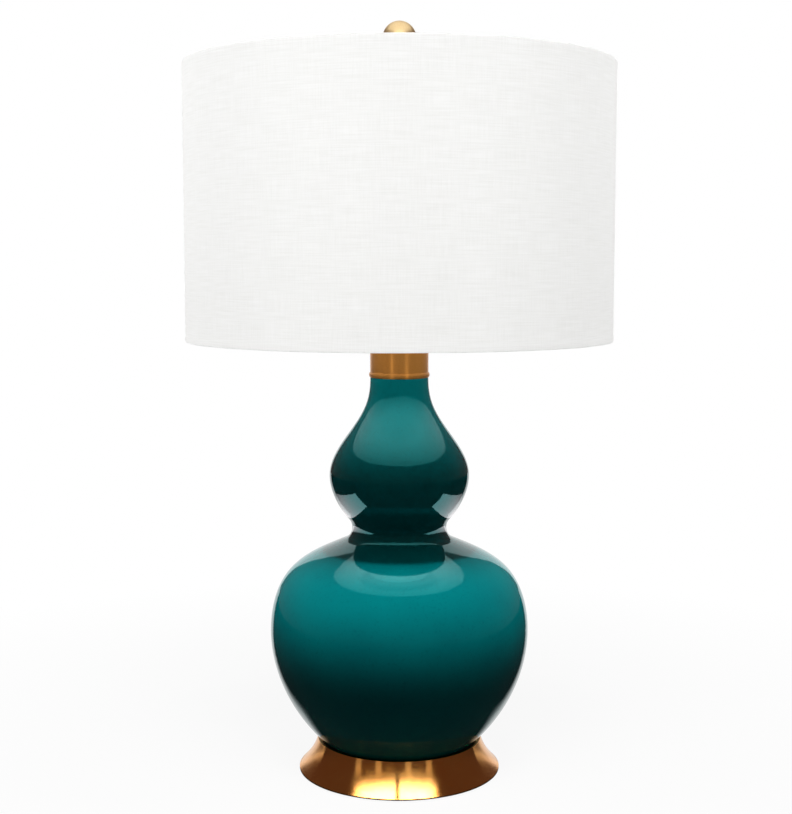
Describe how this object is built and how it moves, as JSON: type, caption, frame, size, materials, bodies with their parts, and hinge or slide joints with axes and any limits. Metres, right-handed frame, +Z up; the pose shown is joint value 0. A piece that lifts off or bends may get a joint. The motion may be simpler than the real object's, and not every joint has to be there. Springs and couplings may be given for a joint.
{
  "type": "table lamp",
  "caption": "Table lamp with a glazed double-gourd ceramic body on a flared brass foot, and a linen drum shade on a lift-off harp over a screw-in bulb with a turn switch.",
  "frame": {"origin": "middle of the felt pad's underside, on the lamp's axis, where it stands on the table", "axes": "+Z up along the lamp's axis; -Y is the front, with the switch knob; +Y is the back, with the cord inlet"},
  "size_m": [0.3809, 0.381, 0.6764],
  "materials": {
    "felt": "felt",
    "foot_brass": "polished",
    "bushing_plastic": "gloss",
    "gasket_rubber": "matte",
    "teal_glaze": "high gloss",
    "cap_brass": "brushed",
    "zinc_steel": "zinc plated",
    "harp_brass": "plated",
    "socket_brass": "satin",
    "liner_paper": "matte",
    "phenolic": "moulded",
    "screw_shell_metal": "rolled",
    "contact_brass": "bright",
    "knob_plastic": "moulded",
    "shaft_steel": "turned",
    "frosted_glass": "frosted",
    "bulb_base_metal": "rolled",
    "bulb_insulator": "gloss",
    "linen": "woven",
    "shade_styrene": "satin",
    "frame_white": "gloss",
    "finial_brass": "polished"
  },
  "bodies": {
    "base": {"felt_pad": "felt", "base_foot": "foot_brass", "cord_bushing": "bushing_plastic", "body_gasket": "gasket_rubber", "gourd_body": "teal_glaze", "neck_cap": "cap_brass", "clamp_washer": "zinc_steel", "lock_washer": "zinc_steel", "bottom_nut": "zinc_steel", "threaded_rod": "zinc_steel", "cap_nut": "zinc_steel", "harp_saddle": "harp_brass", "socket_cap": "socket_brass", "socket_set_screw": "zinc_steel", "socket_shell": "socket_brass", "socket_liner": "liner_paper", "socket_body": "phenolic", "screw_shell": "screw_shell_metal", "center_contact": "contact_brass", "terminal_screws": "contact_brass"},
    "switch": {"switch_shaft": "shaft_steel", "switch_knob": "knob_plastic"},
    "bulb": {"bulb_tip": "contact_brass", "bulb_insulator": "bulb_insulator", "bulb_screw_base": "bulb_base_metal", "bulb_glass": "frosted_glass"},
    "harp": {"harp": "harp_brass", "harp_stud": "harp_brass"},
    "sleeve_left": {"harp_sleeve_left": "harp_brass"},
    "sleeve_right": {"harp_sleeve_right": "harp_brass"},
    "shade": {"shade_top_ring": "frame_white", "shade_bottom_ring": "frame_white", "spider": "frame_white", "shade_liner": "shade_styrene", "shade_cloth": "linen"},
    "finial": {"finial": "finial_brass"}
  },
  "joints": [
    {"name": "switch_turn", "type": "hinge", "parent": "base", "child": "switch", "pos_m": [0, -0.027, 0.4295], "axis": [0, -1, 0], "continuous": true},
    {"name": "bulb_screw", "type": "hinge", "parent": "base", "child": "bulb", "pos_m": [0, 0, 0.46], "axis": [0, 0, 1], "continuous": true},
    {"name": "harp_lift", "type": "slide", "parent": "base", "child": "harp", "axis": [0, 0, 1], "range_m": [0, 0.2]},
    {"name": "sleeve_left_slide", "type": "slide", "parent": "harp", "child": "sleeve_left", "axis": [0, 0, 1], "range_m": [0, 0.016]},
    {"name": "sleeve_right_slide", "type": "slide", "parent": "harp", "child": "sleeve_right", "axis": [0, 0, 1], "range_m": [0, 0.016]},
    {"name": "shade_turn", "type": "hinge", "parent": "harp", "child": "shade", "pos_m": [0, 0, 0.634], "axis": [0, 0, 1], "continuous": true},
    {"name": "finial_screw", "type": "hinge", "parent": "harp", "child": "finial", "pos_m": [0, 0, 0.64], "axis": [0, 0, 1], "continuous": true}
  ]
}
